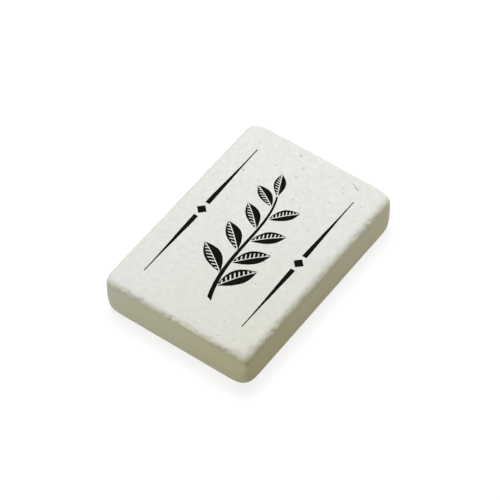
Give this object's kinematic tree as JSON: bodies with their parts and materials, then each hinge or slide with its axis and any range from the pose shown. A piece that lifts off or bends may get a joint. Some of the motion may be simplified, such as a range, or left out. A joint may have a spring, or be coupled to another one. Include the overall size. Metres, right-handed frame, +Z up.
{
  "type": "eraser",
  "caption": "White rubber block eraser with flat faces, tumbled round edges and corners, and a plain leaf ornament printed in black on the top face; for rubbing out pencil marks on paper.",
  "frame": {"origin": "middle of the flat base, on the surface that the eraser lies on", "axes": "+X along the length, +Y across the width, +Z up through the printed top face"},
  "size_m": [0.036, 0.0248, 0.0068],
  "materials": {
    "white_rubber": "matt, chalky, with fine grain and small pits",
    "black_ink": "matt printing ink, slightly broken by the grain"
  },
  "bodies": {
    "root": {"eraser_block": "white_rubber"}
  },
  "joints": []
}
